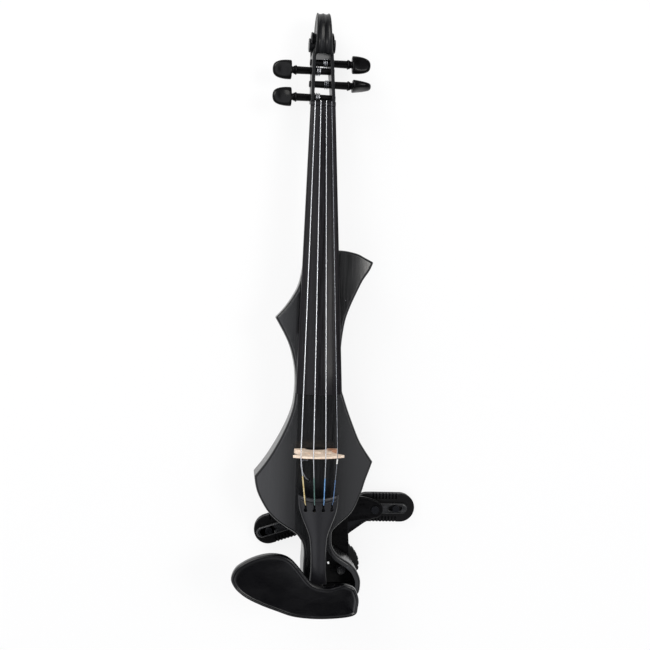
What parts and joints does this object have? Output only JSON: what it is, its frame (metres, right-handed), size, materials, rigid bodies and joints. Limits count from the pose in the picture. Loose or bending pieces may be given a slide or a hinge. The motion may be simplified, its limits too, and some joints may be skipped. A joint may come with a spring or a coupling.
{
  "type": "electric violin",
  "caption": "Solid-body electric violin with open pegbox, scroll, looped tail, rear battery pocket, chin rest and swivelling shoulder rest.",
  "frame": {"origin": "middle of the overall box, on the table that the instrument lies on", "axes": "+X to the treble side, +Y from the tail to the scroll, +Z out of the front of the instrument; lying on its back, on its shoulder rest and scroll"},
  "size_m": [0.1862, 0.568, 0.0948],
  "materials": {
    "satin_lacquer": "satin black lacquer",
    "fingerboard_wood": "oiled black wood",
    "polished_wood": "polished black wood",
    "maple": "bare maple",
    "tailpiece_composite": "satin moulded",
    "chin_plastic": "polished moulded",
    "wound_steel": "flat wound",
    "plain_steel": "drawn wire",
    "black_steel": "black oxide",
    "pot_case": "stamped",
    "pickup_brass": "rolled",
    "black_plastic": "moulded",
    "knob_plastic": "moulded, knurled",
    "rest_plastic": "glass-filled moulded",
    "cord_plastic": "extruded",
    "wheel_rubber": "moulded",
    "pad_rubber": "ribbed",
    "pad_foam": "closed-cell foam",
    "lamp_lens": "moulded lens",
    "battery_wrap": "printed sleeve, unmarked",
    "board_resin": "glass-resin laminate"
  },
  "bodies": {
    "instrument": {"body": "satin_lacquer", "neck": "satin_lacquer", "fingerboard": "fingerboard_wood", "nut": "fingerboard_wood", "string_g": "wound_steel", "string_d": "wound_steel", "string_a": "wound_steel", "string_e": "plain_steel", "bridge": "maple", "bridge_pickup": "pickup_brass", "pickup_lead": "cord_plastic", "tailpiece": "tailpiece_composite", "tailpiece_fret": "tailpiece_composite", "tail_cord": "cord_plastic", "end_button": "polished_wood", "control_panel": "black_plastic", "volume_pot": "pot_case", "indicator_lamp": "lamp_lens", "output_socket": "black_steel", "headphone_socket": "black_steel", "rear_cover": "black_plastic", "cover_screw_1": "black_steel", "cover_screw_2": "black_steel", "cover_screw_3": "black_steel", "cover_screw_4": "black_steel", "battery": "battery_wrap", "battery_snap": "black_plastic", "circuit_board": "board_resin", "chin_rest": "chin_plastic", "chin_riser": "black_plastic", "chin_clamp": "black_steel", "rest_plate": "rest_plastic", "plate_screw_1": "black_steel", "plate_screw_2": "black_steel", "rest_nut": "black_steel"},
    "peg_g_turn": {"peg_g": "polished_wood", "winding_g": "wound_steel"},
    "peg_d_turn": {"peg_d": "polished_wood", "winding_d": "wound_steel"},
    "peg_a_turn": {"peg_a": "polished_wood", "winding_a": "wound_steel"},
    "peg_e_turn": {"peg_e": "polished_wood", "winding_e": "plain_steel"},
    "knob": {"volume_knob": "knob_plastic"},
    "door": {"battery_door": "black_plastic"},
    "barrel_left": {"clamp_barrel_left": "black_steel"},
    "barrel_right": {"clamp_barrel_right": "black_steel"},
    "wheel": {"rest_wheel": "wheel_rubber"},
    "bar": {"rest_bar": "rest_plastic", "arm_pin_left": "black_steel", "arm_pin_right": "black_steel"},
    "arm_left": {"rest_arm_left": "rest_plastic"},
    "pad_left": {"pad_base_left": "pad_rubber", "pad_foam_left": "pad_foam", "pad_screw_left": "black_steel"},
    "arm_right": {"rest_arm_right": "rest_plastic"},
    "pad_right": {"pad_base_right": "pad_rubber", "pad_foam_right": "pad_foam", "pad_screw_right": "black_steel"}
  },
  "joints": [
    {"name": "peg_g_hinge", "type": "hinge", "parent": "instrument", "child": "peg_g_turn", "pos_m": [-0.0155, 0.20139, 0.03588], "axis": [1, 0, 0], "continuous": true},
    {"name": "peg_d_hinge", "type": "hinge", "parent": "instrument", "child": "peg_d_turn", "pos_m": [-0.0155, 0.22799, 0.03039], "axis": [1, 0, 0], "continuous": true},
    {"name": "peg_a_hinge", "type": "hinge", "parent": "instrument", "child": "peg_a_turn", "pos_m": [-0.0155, 0.23609, 0.02872], "axis": [1, 0, 0], "continuous": true},
    {"name": "peg_e_hinge", "type": "hinge", "parent": "instrument", "child": "peg_e_turn", "pos_m": [-0.0155, 0.21479, 0.03312], "axis": [1, 0, 0], "continuous": true},
    {"name": "knob_hinge", "type": "hinge", "parent": "instrument", "child": "knob", "pos_m": [0.01409, -0.25395, 0.039], "axis": [0, 0, 1], "range_deg": [-150, 150]},
    {"name": "door_slide", "type": "slide", "parent": "instrument", "child": "door", "axis": [0, 1, 0], "range_m": [0, 0.03]},
    {"name": "barrel_left_hinge", "type": "hinge", "parent": "instrument", "child": "barrel_left", "pos_m": [-0.0035, -0.27916, 0.05], "axis": [0, 0, 1], "continuous": true},
    {"name": "barrel_right_hinge", "type": "hinge", "parent": "instrument", "child": "barrel_right", "pos_m": [0.0195, -0.27916, 0.05], "axis": [0, 0, 1], "continuous": true},
    {"name": "wheel_hinge", "type": "hinge", "parent": "instrument", "child": "wheel", "pos_m": [0.0125, -0.25896, 0.011], "axis": [0, 0, 1], "continuous": true},
    {"name": "bar_hinge", "type": "hinge", "parent": "instrument", "child": "bar", "pos_m": [0.0125, -0.25896, 0.018], "axis": [0, 0, 1], "range_deg": [-8, 8]},
    {"name": "arm_right_hinge", "type": "hinge", "parent": "bar", "child": "arm_right", "pos_m": [0.0505, -0.20136, 0.0135], "axis": [0, 0, 1], "range_deg": [-15, 15]},
    {"name": "pad_right_slide", "type": "slide", "parent": "arm_right", "child": "pad_right", "axis": [0.9998, -0.02, 0], "range_m": [-0.005, 0.005]},
    {"name": "arm_left_hinge", "type": "hinge", "parent": "bar", "child": "arm_left", "pos_m": [-0.0297, -0.21536, 0.0135], "axis": [0, 0, 1], "range_deg": [-15, 15]},
    {"name": "pad_left_slide", "type": "slide", "parent": "arm_left", "child": "pad_left", "axis": [-0.9582, -0.286, 0], "range_m": [-0.005, 0.005]}
  ]
}
